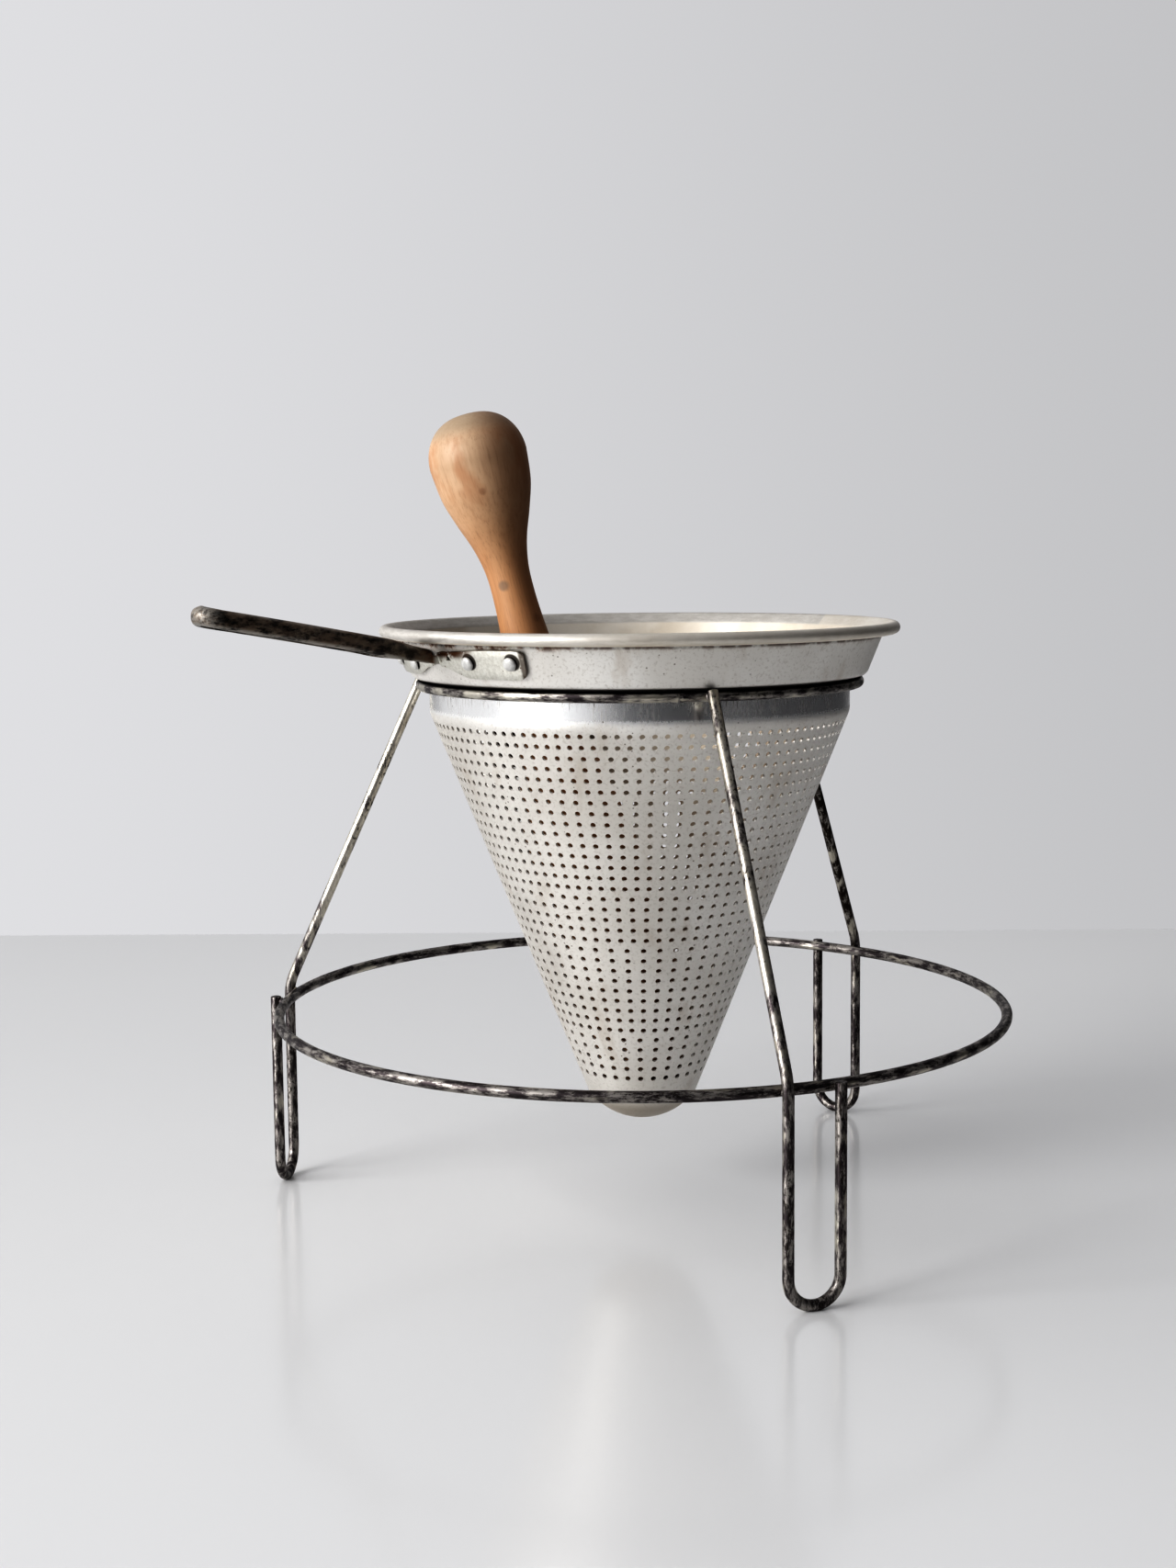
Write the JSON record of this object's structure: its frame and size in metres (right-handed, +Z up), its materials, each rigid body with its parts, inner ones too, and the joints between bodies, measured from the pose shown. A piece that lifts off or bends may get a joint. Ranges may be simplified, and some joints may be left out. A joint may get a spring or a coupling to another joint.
{
  "type": "potato ricer",
  "caption": "Conical perforated aluminium sieve with a riveted steel handle, seated in a three-legged wire stand, with a turned wooden pestle leaning inside.",
  "frame": {"origin": "the middle of the object's box at rest, on the surface that its feet stand on; the cone's own axis is at x = 21.34 mm, y = 1.16 mm", "axes": "+Z up, along the cone's axis; -X towards the handle's tip"},
  "size_m": [0.3326, 0.2892, 0.3077],
  "materials": {
    "aluminium": "satin, spun, finely pitted",
    "core_steel": "plain drawn wire",
    "handle_steel": "blackened, worn bright at the tip",
    "rivet_metal": "dull",
    "wire_steel": "tinned, darkened and mottled",
    "maple": "bare turned wood, worn smooth"
  },
  "bodies": {
    "stand": {"stand_top_ring": "wire_steel", "stand_bottom_ring": "wire_steel", "leg_1": "wire_steel", "leg_2": "wire_steel", "leg_3": "wire_steel"},
    "sieve": {"sieve_body": "aluminium", "handle": "handle_steel", "rivet_1": "rivet_metal", "rivet_2": "rivet_metal", "rivet_3": "rivet_metal", "rivet_4": "rivet_metal"},
    "rim_core": {"rim_wire": "core_steel"},
    "pestle": {"pestle": "maple"}
  },
  "joints": [
    {"name": "sieve_lift", "type": "slide", "parent": "stand", "child": "sieve", "axis": [0, 0, 1], "range_m": [0, 0.19]},
    {"name": "pestle_roll", "type": "hinge", "parent": "sieve", "child": "rim_core", "pos_m": [0.02134, 0.00116, 0.1], "axis": [0, 0, 1], "continuous": true},
    {"name": "pestle_lift", "type": "slide", "parent": "rim_core", "child": "pestle", "axis": [-0.1924, 0.1466, 0.9703], "range_m": [0, 0.22]}
  ]
}
